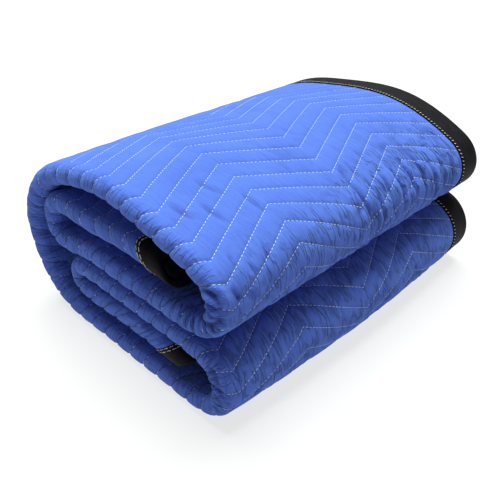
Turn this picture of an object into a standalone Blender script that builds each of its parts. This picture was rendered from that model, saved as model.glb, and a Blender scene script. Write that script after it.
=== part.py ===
"""A quilted moving blanket, folded away: quarter-folded one way, then rolled in
from both ends and closed in half the other way, so it lies as a soft packet.

The blanket is modelled the way it is made and then put away. The quilted panel and
its four edge bindings are first built flat, in flat coordinates:
    along   down the long side of the blanket, 0 at its middle
    across  over its short side, 0 at the bound edge that ends up outermost
    lift    out of the cloth, 0 in its mid-plane, + on the face that ends up outside
Then fold() carries every point to where it lies in the packet.

Metres, +Z up. X runs over the packet, Y down its length with the folded ends at
low Y and the bound edges at high Y. The origin is on the floor under the middle.
"""

import math

import bmesh
import bpy
import numpy as np

# ---------------------------------------------------------------- the blanket, flat
ACROSS_SIZE = 1.829          # short side, folded in quarters
SHEET_CROWN = 0.0058         # quilt thickness between two rows of stitching
SHEET_SEAM = 0.0026          # and where the stitching pulls it in
SHEET_BOUND = 0.0030         # and where it is pressed flat inside the binding
ROW_PITCH = 0.0254           # from one row of stitching to the next, along
ROW_FIRST = -0.0080          # the row nearest the middle lies here
ZIGZAG_LEG = 0.1032          # across, from one turn of the zigzag to the next
FIRST_TURN = 0.0290          # across, of the turn nearest the outermost bound edge
ZIGZAG_SWING = 0.0508        # how far along a row moves over one leg
LEG_STEPS = 2                # mesh columns along one leg of the zigzag
ZIGZAG_SHOWN = 0.54          # rows nearer the middle than this lie on the outside
ZIGZAG_FADE = 0.10           # and past it the zigzag straightens over this length
CLOSEST_ROW = 0.0053         # a mesh row comes no nearer to the tape's edge than this
CLOSEST_COLUMN = 0.0100      # a zigzag's mesh column comes no nearer to the fold than this

# ---------------------------------------------------------------- the binding tape
TAPE_SHOWS = 0.0340          # width on each face of the blanket
TAPE_THICK = 0.0011
TAPE_GAP = 0.0003            # between tape and cloth, and where two tapes butt
TAPE_BACK = 0.0012           # from the cloth's edge to the middle of the tape round it

# ---------------------------------------------------------------- the quarter fold
SHEET_PITCH = 0.0072         # from one of the four sheets to the next
INNER_SETBACK = 0.0088       # the fold at the bound end stops this far inside
NEAR_FOLD_STEPS = 4          # mesh columns round the fold at the folded ends
SMALL_FOLD_STEPS = 2         # and round each of the two small ones
PAST_BOUND_END = 1.05        # the packet's near to far change goes on this far, at most

# ---------------------------------------------------------------- the packet
# The four-sheet band's middle line, walked from the upper tail to the lower one, at
# the folded ends (near) and at the bound ends (far). A "point" row lies on the line.
# A "bend" row is a fold: part of an ellipse with that centre, reach (half width) and
# rise (half height), from one angle to another, in degrees from +X. Millimetres.
COURSE = (
    # kind    place on the band          near x     z  reach  rise  far x     z  reach  rise  from   to
    ("point", "upper tail end",            -56,   169,    0,    0,    -56,   149,    0,    0,    0,    0),
    ("point", "upper tail",               -130,   170,    0,    0,   -130,   150,    0,    0,    0,    0),
    ("point", "upper tail, at its fold",  -195,   165,    0,    0,   -190,   148,    0,    0,    0,    0),
    ("bend",  "upper inner fold",         -240,   138,   21,   25,   -234,   129,   18,   17,  100,  280),
    ("point", "middle, upper, left",      -195,   120,    0,    0,   -195,   115,    0,    0,    0,    0),
    ("point", "middle, upper",            -135,   121,    0,    0,   -135,   116,    0,    0,    0,    0),
    ("point", "middle, upper, right",      -60,   121,    0,    0,    -60,   116,    0,    0,    0,    0),
    ("bend",  "upper front fold",          -12,   159,   42,   37,    -12,   149,   40,   32,  -85,   65),
    ("point", "top, front",                -45,   207,    0,    0,    -42,   196,    0,    0,    0,    0),
    ("point", "top",                      -115,   222,    0,    0,   -105,   203,    0,    0,    0,    0),
    ("point", "top, back",                -190,   217,    0,    0,   -185,   191,    0,    0,    0,    0),
    ("point", "back fold, upper",         -250,   196,    0,    0,   -240,   177,    0,    0,    0,    0),
    ("point", "back fold, shoulder",      -289,   160,    0,    0,   -284,   149,    0,    0,    0,    0),
    ("point", "back fold",                -308,   115,    0,    0,   -303,   106,    0,    0,    0,    0),
    ("point", "back fold, lower",         -299,    66,    0,    0,   -298,    62,    0,    0,    0,    0),
    ("point", "back fold, heel",          -276,    31,    0,    0,   -276,    31,    0,    0,    0,    0),
    ("point", "bottom, back",             -228,  13.6,    0,    0,   -228,  13.6,    0,    0,    0,    0),
    ("point", "bottom",                   -180,  13.6,    0,    0,   -180,  13.6,    0,    0,    0,    0),
    ("point", "bottom, middle",           -110,  13.6,    0,    0,   -110,  13.6,    0,    0,    0,    0),
    ("point", "bottom, front",             -50,  13.6,    0,    0,    -50,  13.6,    0,    0,    0,    0),
    ("bend",  "lower front fold",           -4,  51.5,   38,   37,     -4,    49,   36,   35,  -85,   88),
    ("point", "middle, lower, right",      -60,    91,    0,    0,    -60,    86,    0,    0,    0,    0),
    ("point", "middle, lower",            -140,    91,    0,    0,   -140,    86,    0,    0,    0,    0),
    ("bend",  "lower inner fold",         -204,  73.9, 16.4, 15.3,   -204,    70, 16.4, 15.2,   90,  270),
    ("point", "lower tail",               -140,    60,    0,    0,   -140,    56,    0,    0,    0,    0),
    ("point", "lower tail end",            -36,    59,    0,    0,    -36,    55,    0,    0,    0,    0),
)
CENTRE_X = -0.1360           # of the course above, moved to X = 0
BEND_STEPS = 7               # points that a bend gives the line
LINE_SAMPLES = 4000
PLAIN_BEYOND = 0.80          # the tails' hidden rows are left plain
TAIL_CREEP = 0.026           # the inmost sheet's end lies this far past the outmost
CREEP_RUN = 0.30             # over this much of the band
ON_FLOOR = 0.0145            # a middle line lower than this is pressed on the floor

BLUE = (0.070, 0.130, 0.620, 1.0)
BLACK = (0.012, 0.012, 0.012, 1.0)

# Worked out from the sizes above.
ROW_STEP = ROW_PITCH / 2
OUTER_DEPTH = 1.5 * SHEET_PITCH  # the outermost sheet, from the band's middle line
NEAR_FOLD_Y = OUTER_DEPTH + SHEET_CROWN / 2
NEAR_ARC = math.pi * OUTER_DEPTH
SMALL_ARC = math.pi * SHEET_PITCH / 2
MEAN_STRAIGHT = (ACROSS_SIZE - NEAR_ARC - 2.0 * SMALL_ARC) / 4.0
OUTER_STRAIGHT = MEAN_STRAIGHT + INNER_SETBACK / 2
INNER_STRAIGHT = MEAN_STRAIGHT - INNER_SETBACK / 2
BOUND_Y = NEAR_FOLD_Y + OUTER_STRAIGHT
MIDDLE_Y = (BOUND_Y + TAPE_BACK + TAPE_THICK / 2) / 2
TAPE_EDGE = TAPE_SHOWS + TAPE_GAP
# The quarter fold, in the plane of Y and depth, from the outermost bound edge:
# a length of cloth, the angle it turns through, and its mesh columns.
QUARTER_FOLD = (
    (OUTER_STRAIGHT, 0.0, 1),
    (NEAR_ARC, math.pi, NEAR_FOLD_STEPS),
    (INNER_STRAIGHT, 0.0, 1),
    (SMALL_ARC, math.pi, SMALL_FOLD_STEPS),
    (INNER_STRAIGHT, 0.0, 1),
    (SMALL_ARC, -math.pi, SMALL_FOLD_STEPS),
    (OUTER_STRAIGHT, 0.0, 1),
)


# ================================================================ folding
def smooth(t):
    """0 to 1 with soft ends."""
    t = np.clip(t, 0.0, 1.0)
    return t * t * (3.0 - 2.0 * t)


def spline(points, samples):
    """A natural cubic spline through the points, with the knots at chord lengths."""
    knots = np.concatenate([[0.0], np.cumsum(np.linalg.norm(np.diff(points, axis=0), axis=1))])
    steps = np.diff(knots)
    slopes = np.diff(points, axis=0) / steps[:, None]
    last = len(knots) - 1
    system = np.eye(last + 1)
    right = np.zeros_like(points)
    for i in range(1, last):
        system[i, i - 1:i + 2] = steps[i - 1], 2.0 * (steps[i - 1] + steps[i]), steps[i]
        right[i] = 6.0 * (slopes[i] - slopes[i - 1])
    bends = np.linalg.solve(system, right)
    at = np.linspace(0.0, knots[-1], samples)
    i = np.clip(np.searchsorted(knots, at, side="right") - 1, 0, last - 1)
    h = steps[i][:, None]
    a = (knots[i + 1] - at)[:, None] / h
    b = 1.0 - a
    cubic = ((a ** 3 - a) * bends[i] + (b ** 3 - b) * bends[i + 1]) * h ** 2 / 6.0
    return a * points[i] + b * points[i + 1] + cubic


def course_points():
    """Near X, near Z, far X and far Z of each point of the course, its bends worked out."""
    found = []
    for kind, _, *shape, start, stop in COURSE:
        near, far = shape[:4], shape[4:]
        turns = np.linspace(start, stop, BEND_STEPS) if kind == "bend" else [start]
        for angle in np.radians(turns):
            found.append([value for x, z, reach, rise in (near, far)
                          for value in (x + reach * np.cos(angle), z + rise * np.sin(angle))])
    return np.array(found) / 1000.0 - [CENTRE_X, 0.0, CENTRE_X, 0.0]


def headings(line):
    """Unit direction of a line in X and Z at each of its samples."""
    step = np.gradient(line, axis=0)
    return step / np.linalg.norm(step, axis=1)[:, None]


def outer_lengths(line):
    """Length along the outermost sheet of the band, measured from its middle."""
    turn = headings(line)
    outer = line + OUTER_DEPTH * np.stack([turn[:, 1], -turn[:, 0]], axis=1)
    walked = np.cumsum(np.linalg.norm(np.diff(outer, axis=0), axis=1))
    return np.concatenate([[0.0], walked]) - walked[-1] / 2


LINE = spline(course_points(), LINE_SAMPLES)
LINE_AT = outer_lengths((LINE[:, :2] + LINE[:, 2:]) / 2)
LINE_STEP = np.gradient(LINE, LINE_AT, axis=0)
HALF_ALONG = LINE_AT[-1]


def quarter_fold(across, lift):
    """Y and depth in the four-sheet band of a point of the flat cloth."""
    y = np.full(across.shape, BOUND_Y)
    depth = np.full(across.shape, OUTER_DEPTH)
    heading = np.full(across.shape, math.pi)
    left = across.copy()
    last = len(QUARTER_FOLD) - 1
    for number, (length, turn, _) in enumerate(QUARTER_FOLD):
        part = left if number == 0 else np.maximum(left, 0.0)
        if number < last:
            part = np.minimum(part, length)
        if turn:
            radius = length / turn
            turned = heading + part / radius
            y += radius * (np.sin(turned) - np.sin(heading))
            depth -= radius * (np.cos(turned) - np.cos(heading))
            heading = turned
        else:
            y += part * np.cos(heading)
        left = left - part
    return y + lift * np.sin(heading), depth - lift * np.cos(heading)


def fold(points):
    """Where points of the flat cloth (along, across, lift) lie in the packet."""
    along, across, lift = np.asarray(points, float).T
    y, depth = quarter_fold(across, lift)
    inward = (OUTER_DEPTH - depth) / (2.0 * OUTER_DEPTH)
    creep = TAIL_CREEP * inward * smooth(1.0 - (HALF_ALONG - np.abs(along)) / CREEP_RUN)
    along = along + np.sign(along) * creep
    inside = np.clip(along, -HALF_ALONG, HALF_ALONG)
    far = np.clip((y - NEAR_FOLD_Y) / INNER_STRAIGHT, 0.0, PAST_BOUND_END)
    place, step = (
        np.stack([np.interp(inside, LINE_AT, table[:, k]) * (1.0 - far)
                  + np.interp(inside, LINE_AT, table[:, k + 2]) * far for k in (0, 1)], axis=1)
        for table in (LINE, LINE_STEP))
    heading = step / np.linalg.norm(step, axis=1)[:, None]
    place += heading * (along - inside)[:, None]
    x = place[:, 0] + heading[:, 1] * depth
    z = place[:, 1] - heading[:, 0] * depth
    return np.stack([x, y - MIDDLE_Y, np.maximum(z, 0.0)], axis=1)


# ================================================================ the flat cloth
def zigzag(along, across):
    """How far a row is moved along at that place: its swing, kept to the outermost sheet."""
    leg = (np.maximum(across, TAPE_EDGE) - FIRST_TURN) / ZIGZAG_LEG
    swing = ZIGZAG_SWING * (0.5 - np.abs(leg % 2.0 - 1.0))
    shown = smooth((ZIGZAG_SHOWN + ZIGZAG_FADE - np.abs(along)) / ZIGZAG_FADE)
    outermost = 1.0 - smooth((across - OUTER_STRAIGHT) / NEAR_ARC)
    return swing * shown * outermost


def on_floor(along):
    """Whether the band's middle line is down on the floor there."""
    return np.interp(along, LINE_AT, LINE[:, 1]) < ON_FLOOR


def along_rows():
    """Places along for the mesh's rows, and whether each is a row of stitching."""
    tape_edge = HALF_ALONG - TAPE_EDGE
    count = int(tape_edge / ROW_STEP)
    rows = [(ROW_FIRST + k * ROW_STEP, k % 2 == 0) for k in range(-count, count + 1)]
    rows = [(place, seam) for place, seam in rows if abs(place) < tape_edge - CLOSEST_ROW
            and (seam or (abs(place) < PLAIN_BEYOND and not on_floor(place)))]
    ends = [(sign * end, False) for sign in (-1, 1) for end in (tape_edge, HALF_ALONG)]
    return sorted(rows + ends)


def across_columns():
    """Places across for the mesh's columns: the tape's edges, the zigzag's turns, the folds."""
    step = ZIGZAG_LEG / LEG_STEPS
    count = int((OUTER_STRAIGHT - FIRST_TURN - CLOSEST_COLUMN) / step)
    columns = [0.0, TAPE_EDGE] + [FIRST_TURN + k * step for k in range(1, count + 1)]
    start = 0.0
    for length, _, steps in QUARTER_FOLD:
        columns += [start + length * (k + 1) / steps for k in range(steps)]
        start += length
    return sorted(columns + [ACROSS_SIZE - TAPE_EDGE])


def sheet_grid(name, rows, columns):
    """A flat grid with those numbers of points, and each vertex's row and column."""
    grid = bmesh.new()
    bmesh.ops.create_grid(grid, x_segments=rows - 1, y_segments=columns - 1, size=1.0)
    mesh = bpy.data.meshes.new(name)
    grid.to_mesh(mesh)
    grid.free()
    place = np.array([vertex.co for vertex in mesh.vertices])
    row = np.rint((place[:, 0] + 1.0) / 2.0 * (rows - 1)).astype(int)
    column = np.rint((place[:, 1] + 1.0) / 2.0 * (columns - 1)).astype(int)
    return mesh, row, column


def put(mesh, points):
    """Moves a mesh's vertices to those points."""
    mesh.vertices.foreach_set("co", np.asarray(points, np.float32).ravel())
    mesh.update()


def make_object(mesh, material, thickness):
    """An object for a flat sheet, thickened about its mid-plane."""
    obj = bpy.data.objects.new(mesh.name, mesh)
    mesh.materials.append(material)
    COLLECTION.objects.link(obj)
    solid = obj.modifiers.new("thickness", "SOLIDIFY")
    solid.thickness = thickness
    solid.offset = 0.0
    solid.use_even_offset = True
    return obj


def fold_object(obj):
    """Applies the thickness to the flat cloth, then folds it."""
    graph = bpy.context.evaluated_depsgraph_get()
    cloth = bpy.data.meshes.new_from_object(obj.evaluated_get(graph))
    obj.modifiers.clear()
    flat_mesh, obj.data = obj.data, cloth
    bpy.data.meshes.remove(flat_mesh)
    cloth.name = obj.name
    put(cloth, fold([vertex.co for vertex in cloth.vertices]))
    cloth.shade_smooth()


def make_panel(material):
    """The quilted panel: face cloth, filling and back cloth, stitched as one."""
    rows = along_rows()
    columns = np.array(across_columns())
    mesh, row, column = sheet_grid("quilted_panel", len(rows), len(columns))
    along = np.array([place for place, _ in rows])[row]
    stitched = np.array([seam for _, seam in rows])[row]
    across = columns[column]
    from_edge = np.minimum(np.minimum(across, ACROSS_SIZE - across), HALF_ALONG - np.abs(along))
    bound = from_edge < TAPE_EDGE + TAPE_GAP
    along = along + zigzag(along, across)
    thickness = np.where(stitched & ~on_floor(along), SHEET_SEAM, SHEET_CROWN)
    thickness = np.where(bound, SHEET_BOUND, thickness)
    put(mesh, np.stack([along, across, np.zeros(len(along))], axis=1))
    panel = make_object(mesh, material, SHEET_CROWN)
    split = bmesh.new()
    split.from_mesh(mesh)
    bmesh.ops.triangulate(split, faces=split.faces, quad_method="SHORT_EDGE")
    split.to_mesh(mesh)
    split.free()
    puff = panel.vertex_groups.new(name="puff")
    for index, share in enumerate(thickness / SHEET_CROWN):
        puff.add([index], float(share), "REPLACE")
    panel.modifiers["thickness"].vertex_group = puff.name
    fold_object(panel)


def make_tape(name, stations, place, material):
    """A binding tape: its section carried to each station by place(station, inward)."""
    lift = SHEET_BOUND / 2 + TAPE_GAP + TAPE_THICK / 2
    section = ((TAPE_SHOWS, -lift), (-TAPE_BACK, -lift), (-TAPE_BACK, lift), (TAPE_SHOWS, lift))
    mesh, row, column = sheet_grid(name, len(stations), len(section))
    flat = [(*place(stations[r], section[c][0]), section[c][1]) for r, c in zip(row, column)]
    put(mesh, flat)
    fold_object(make_object(mesh, material, TAPE_THICK))


def make_bindings(material):
    """Two tapes down the long edges, and two over the short ones that butt between them."""
    past = TAPE_BACK + TAPE_THICK / 2
    rows = [place for place, _ in along_rows()]
    rows[0] -= past
    rows[-1] += past
    make_tape("binding_long_outer", rows,
              lambda along, inward: (along + zigzag(along, 0.0), inward), material)
    make_tape("binding_long_inner", rows,
              lambda along, inward: (along, ACROSS_SIZE - inward), material)
    inner = [place for place in across_columns() if TAPE_EDGE <= place <= ACROSS_SIZE - TAPE_EDGE]
    make_tape("binding_short_upper", inner,
              lambda across, inward: (inward - HALF_ALONG, across), material)
    make_tape("binding_short_lower", inner,
              lambda across, inward: (HALF_ALONG - inward, across), material)


def cloth_material(name, colour, roughness):
    """A plain woven cloth."""
    material = bpy.data.materials.new(name)
    material.use_nodes = True
    shader = material.node_tree.nodes["Principled BSDF"]
    shader.inputs["Base Color"].default_value = colour
    shader.inputs["Roughness"].default_value = roughness
    shader.inputs["Metallic"].default_value = 0.0
    material.diffuse_color = colour
    return material


for leftover in list(bpy.data.objects):
    bpy.data.objects.remove(leftover)
COLLECTION = bpy.data.collections.new("moving_blanket")
bpy.context.scene.collection.children.link(COLLECTION)
make_panel(cloth_material("quilt_blue", BLUE, 0.85))
make_bindings(cloth_material("binding_black", BLACK, 0.70))
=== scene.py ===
"""Looks of the folded moving blanket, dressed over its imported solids.

The visual cloth is made the way the solids are: laid out flat in flat coordinates
(along, across, lift), with its quilting, puckers and creases, and then folded by
fold() to where it lies in the packet. Metres, +Z up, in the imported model's frame.
"""

import math

import bmesh
import bpy
import numpy as np
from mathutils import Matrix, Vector


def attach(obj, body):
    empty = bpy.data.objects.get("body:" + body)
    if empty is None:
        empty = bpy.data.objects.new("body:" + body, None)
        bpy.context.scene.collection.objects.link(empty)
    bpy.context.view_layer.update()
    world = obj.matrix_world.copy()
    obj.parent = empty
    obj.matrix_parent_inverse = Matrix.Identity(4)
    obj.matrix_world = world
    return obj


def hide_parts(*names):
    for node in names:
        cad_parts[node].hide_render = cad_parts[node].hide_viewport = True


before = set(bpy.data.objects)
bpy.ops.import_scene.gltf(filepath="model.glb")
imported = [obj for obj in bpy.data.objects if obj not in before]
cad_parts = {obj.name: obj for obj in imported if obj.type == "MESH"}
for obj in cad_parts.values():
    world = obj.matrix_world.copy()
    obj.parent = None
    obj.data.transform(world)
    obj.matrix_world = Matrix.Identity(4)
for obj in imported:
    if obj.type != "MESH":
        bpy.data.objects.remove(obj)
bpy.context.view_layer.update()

# ------------------------ the blanket, flat
ACROSS_SIZE = 1.829          # short side, folded in quarters
SHEET_CROWN = 0.0058         # quilt thickness between two rows of stitching
SHEET_SEAM = 0.0030          # and where the stitching pulls it in
SHEET_BOUND = 0.0030         # and where it is pressed flat inside the binding
ROW_PITCH = 0.0254           # from one row of stitching to the next, along
ROW_FIRST = -0.0080          # the row nearest the middle lies here
ZIGZAG_LEG = 0.1032          # across, from one turn of the zigzag to the next
FIRST_TURN = 0.0290          # across, of the turn nearest the outermost bound edge
ZIGZAG_SWING = 0.0508        # how far along a row moves over one leg
TAPE_SHOWS = 0.0340          # width of the binding on each face
TAPE_THICK = 0.0011
TAPE_GAP = 0.0003
TAPE_BACK = 0.0012           # from the cloth's edge to the middle of the tape round it

# ------------------------ the quarter fold
SHEET_PITCH = 0.0072         # from one of the four sheets to the next
INNER_SETBACK = 0.0088       # the fold at the bound end stops this far inside

# ------------------------ the packet
# The band's middle line at the folded (near) and bound (far) ends, as in the solids.
COURSE = (
    # kind    place on the band          near x     z  reach  rise  far x     z  reach  rise  from   to
    ("point", "upper tail end",            -56,   169,    0,    0,    -56,   149,    0,    0,    0,    0),
    ("point", "upper tail",               -130,   170,    0,    0,   -130,   150,    0,    0,    0,    0),
    ("point", "upper tail, at its fold",  -195,   165,    0,    0,   -190,   148,    0,    0,    0,    0),
    ("bend",  "upper inner fold",         -240,   138,   21,   25,   -234,   129,   18,   17,  100,  280),
    ("point", "middle, upper, left",      -195,   120,    0,    0,   -195,   115,    0,    0,    0,    0),
    ("point", "middle, upper",            -135,   121,    0,    0,   -135,   116,    0,    0,    0,    0),
    ("point", "middle, upper, right",      -60,   121,    0,    0,    -60,   116,    0,    0,    0,    0),
    ("bend",  "upper front fold",          -12,   159,   42,   37,    -12,   149,   40,   32,  -85,   65),
    ("point", "top, front",                -45,   207,    0,    0,    -42,   196,    0,    0,    0,    0),
    ("point", "top",                      -115,   222,    0,    0,   -105,   203,    0,    0,    0,    0),
    ("point", "top, back",                -190,   217,    0,    0,   -185,   191,    0,    0,    0,    0),
    ("point", "back fold, upper",         -250,   196,    0,    0,   -240,   177,    0,    0,    0,    0),
    ("point", "back fold, shoulder",      -289,   160,    0,    0,   -284,   149,    0,    0,    0,    0),
    ("point", "back fold",                -308,   115,    0,    0,   -303,   106,    0,    0,    0,    0),
    ("point", "back fold, lower",         -299,    66,    0,    0,   -298,    62,    0,    0,    0,    0),
    ("point", "back fold, heel",          -276,    31,    0,    0,   -276,    31,    0,    0,    0,    0),
    ("point", "bottom, back",             -228,  13.6,    0,    0,   -228,  13.6,    0,    0,    0,    0),
    ("point", "bottom",                   -180,  13.6,    0,    0,   -180,  13.6,    0,    0,    0,    0),
    ("point", "bottom, middle",           -110,  13.6,    0,    0,   -110,  13.6,    0,    0,    0,    0),
    ("point", "bottom, front",             -50,  13.6,    0,    0,    -50,  13.6,    0,    0,    0,    0),
    ("bend",  "lower front fold",           -4,  51.5,   38,   37,     -4,    49,   36,   35,  -85,   88),
    ("point", "middle, lower, right",      -60,    91,    0,    0,    -60,    86,    0,    0,    0,    0),
    ("point", "middle, lower",            -140,    91,    0,    0,   -140,    86,    0,    0,    0,    0),
    ("bend",  "lower inner fold",         -204,  73.9, 16.4, 15.3,   -204,    70, 16.4, 15.2,   90,  270),
    ("point", "lower tail",               -140,    60,    0,    0,   -140,    56,    0,    0,    0,    0),
    ("point", "lower tail end",            -36,    59,    0,    0,    -36,    55,    0,    0,    0,    0),
)
CENTRE_X = -0.1360           # of the course above, moved to X = 0
BEND_STEPS = 7
LINE_SAMPLES = 4000
TAIL_CREEP = 0.026           # the inmost sheet's end lies this far past the outmost
CREEP_RUN = 0.30
PAST_BOUND_END = 1.05        # the packet's near to far change goes on this far, at most
# Half way down the packet the lower roll swells out to the front, and the top swells up.
BELLY, BELLY_FROM, BELLY_RUN = 0.0090, 0.020, 0.090  # how far, from which X, over what run
BELLY_TOP, BELLY_FADE = 0.070, 0.036  # none above this height, faded out over that
TOP_SWELL, TOP_FROM, TOP_RUN = 0.0030, 0.165, 0.050

# ------------------------ the visual cloth's mesh
# Where the mesh has its own rows between one row of stitching and the next.
SEAM_CLOSE = (0.0, 0.06, 0.19, 0.39, 0.61, 0.81, 0.94)
GATHERED = (0.0, 0.06, 0.15, 0.26, 0.38, 0.50, 0.62, 0.74, 0.85, 0.94)
PLAIN = (0.0, 0.14, 0.50, 0.86)
ROW_DENSITY = (  # PLAIN anywhere else
    # along from    to   rows
    (-0.600, -0.370, GATHERED),
    (-0.370,  0.000, SEAM_CLOSE),
    ( 0.330,  0.440, SEAM_CLOSE),
    ( 0.440,  0.545, GATHERED),
)
CLOSEST_ROW = 0.003          # a mesh row comes no nearer to the tape's edge than this
COLUMN_STEP = ZIGZAG_LEG / 46
NEAREST_COLUMN = 0.4         # of a step: no nearer to the tape's edge, or to the folded end
NEAR_FOLD_STEPS = 16
MOUTH_STEPS, MOUTH_DEPTH = 12, 0.070  # the innermost sheet, where the folded end shows it
HIDDEN_STEPS = 4
FACES_KEPT = 0.44            # the cloth's hidden side is thinned until this share is left
SHOWN_ALONG = 0.56           # the outermost sheet lies outside up to here, either way
TAIL_SHOWN = 0.10            # past that, it shows this near to the folded end

# ------------------------ relief
PUFF_POWER = 0.55            # how full the quilting is between rows
PUFF_UNEVEN, UNEVEN_CELL = 0.50, (0.06, 0.05)  # how uneven it is, over what lengths
ROWS_STRAIGHTEN = 0.06       # over this length at the blanket's ends
BOUND_EDGE = 0.007           # the quilting flattens over this length beside the binding
NOSE_STARTS, NOSE_RISE = -0.75, 1.0  # the turn round the folded end, in shares of its arc:
NOSE_ENDS, NOSE_FALL = 1.25, 0.6     # where its shape begins and ends, and over what run
NOSE_FLAT = 0.30             # the pillows lose this share where they turn the folded end
SEAM_PULL, NOSE_PULL = 0.0003, 0.0011  # a seam's narrow groove: on the faces, and at the end
GROOVE_WIDTH = 0.0017
HOLLOW_DEPTH = 0.0032        # a crease as deep as this gets the full painted shade
DEEPEST = -0.0012            # a crease goes no deeper than this from the cloth's mid-plane
CREASE_ON_SEAM = 0.45        # and on a row of stitching it has this share of its depth
AREA_EDGE = 0.022            # an area of creases fades in over this length
TROUGH_WIDTH, TROUGH_POWER = 0.22, 1.4  # of a small crease's section
TROUGH_WANDERS, WANDER_WIDE = 0.8, 3.0  # how far it strays, by the distance to the next
PATCH_SHORT, PATCH_WIDE = 0.7, 2.5   # patches of creases: so many to a length, so many creases wide
PATCH_FROM, PATCH_RUN = 0.25, 0.4    # the level of their noise where they start, and fade in over
TROUGH_MEAN = 0.25           # the cloth is raised by this share, to keep its mean height
FOLD_BOWS = 0.35             # a main fold's ends turn aside by this, in its widths
FOLD_SHARP, RIDGE_SHARP = 2.2, 1.1   # how narrow its trough and its ridges are
RIDGE_HIGH, RIDGE_OUT = 0.35, 1.5    # its ridges: height by its depth, place by its width
# Seeds: each noise draws its own pattern.
SEED_WANDER, SEED_PATCH, SEED_PUFF = 20.5, 40.5, 90.5
SEED_WOBBLE, SEED_START, SEED_SUNK, SEED_OVEREDGE = 13.5, 7.0, 9.0, 5.0
# Areas of small creases, in mm.
CREASE_AREAS = (
    # runs      place                           along    to  across   to  long  apart  deep
    ("along",  "upper bulge, far end",           -480, -318,     24, 262,   52,   9.0,  2.6),
    ("along",  "upper bulge, far end, shorter",  -470, -345,     30, 330,   20,   7.0,  1.2),
    ("along",  "upper bulge, lower half",        -482, -385,    200, 462,   16,   7.5,  1.7),
    ("along",  "upper bulge, near end",          -430, -330,    330, 462,   26,  10.0,  1.0),
    ("along",  "top, towards the front",         -350, -225,     40, 300,   26,  10.0,  0.9),
    ("along",  "top",                            -240,   20,     30, 455,   40,  20.0,  0.5),
    ("along",  "lower bulge",                     425,  545,     20, 462,   17,   7.5,  1.8),
    ("along",  "lower bulge, middle",             450,  540,     40, 270,   34,   9.0,  1.6),
    ("along",  "back fold",                         0,  330,     20, 455,   22,  10.0,  0.8),
    ("across", "back fold, folded end",           -95,  250,    452, 520,   22,   8.0,  1.7),
    ("across", "top, folded end",                -340,  -95,    462, 500,   16,  12.0,  0.5),
    ("across", "upper front fold, mouth",        -540, -415,    468, 575,   40,   9.0,  2.8),
    ("across", "lower front fold, mouth",         415,  548,    468, 575,   40,   9.0,  2.8),
    ("across", "upper inner fold",               -800, -660,    450, 520,   22,   8.0,  1.4),
    ("across", "lower inner fold",                640,  800,    450, 520,   20,   8.0,  1.4),
    ("across", "middle sheets",                  -660, -540,    455, 540,   26,  10.0,  1.4),
)
# The main folds, each a soft trough, in mm, turned by so many degrees from along to across.
FOLDS = (
    # place              along  across  turned  long  wide  deep
    ("whorl, 1st",        -388,    459,   -137,   24,  3.9,  4.4),
    ("whorl, 2nd",        -398,    457,   -156,   30,  4.4,  4.4),
    ("whorl, 3rd",        -406,    462,   -140,   30,  4.6,  4.4),
    ("whorl, 4th",        -416,    465,   -120,   28,  4.4,  4.2),
    ("fan, 1st",          -430,    462,    -34,   36,  5.1,  4.1),
    ("fan, 2nd",          -441,    466,    -44,   30,  4.6,  4.1),
    ("fan, 3rd",          -451,    469,    -60,   28,  4.4,  3.9),
    ("fan, 4th",          -461,    471,    -80,   28,  4.4,  3.9),
    ("fan, 5th",          -473,    472,   -100,   30,  4.6,  3.7),
    ("fan, 6th",          -486,    475,   -100,   32,  4.9,  3.5),
    ("fan, 7th",          -499,    478,    -95,   34,  4.9,  3.1),
    ("lower mouth, 1st",   508,    459,   -170,   26,  4.6,  3.3),
    ("lower mouth, 2nd",   496,    461,   -160,   30,  4.9,  3.7),
    ("lower mouth, 3rd",   484,    463,   -150,   38,  5.1,  3.9),
    ("lower mouth, 4th",   472,    466,   -144,   38,  5.1,  3.9),
    ("lower mouth, 5th",   460,    470,   -136,   34,  5.1,  3.5),
    ("lower mouth, 6th",   449,    474,   -125,   30,  4.9,  3.1),
    ("near end, 1st",     -372,    424,    -20,   20,  3.2,  1.8),
    ("near end, 2nd",     -388,    408,     10,   18,  3.2,  1.8),
    ("near end, 3rd",     -380,    384,    -14,   24,  3.2,  1.8),
    ("near end, 4th",     -402,    436,     24,   20,  3.2,  2.0),
    ("top, 1st",          -318,    398,      8,   44,  5.5,  1.6),
    ("top, 2nd",          -300,    424,     14,   38,  5.5,  1.6),
    ("top, 3rd",          -286,    376,     18,   40,  5.0,  1.4),
    ("top, front edge",   -330,    352,      4,   42,  4.5,  1.6),
    ("far pleat, 1st",    -385,    228,      6,   64,  3.6,  2.2),
    ("far pleat, 2nd",    -392,    205,      3,   76,  3.6,  2.6),
    ("far pleat, 3rd",    -388,    183,     -4,   70,  3.6,  2.6),
    ("far pleat, 4th",    -396,    162,      2,   80,  3.8,  2.8),
    ("far pleat, 5th",    -390,    140,      5,   72,  3.6,  2.6),
    ("far pleat, 6th",    -402,    118,     -3,   80,  3.8,  2.8),
    ("far pleat, 7th",    -396,     97,      4,   76,  3.6,  2.6),
    ("far pleat, 8th",    -408,     76,      2,   66,  3.6,  2.2),
    ("far pleat, 9th",    -404,     56,     -2,   56,  3.4,  1.8),
)

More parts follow.
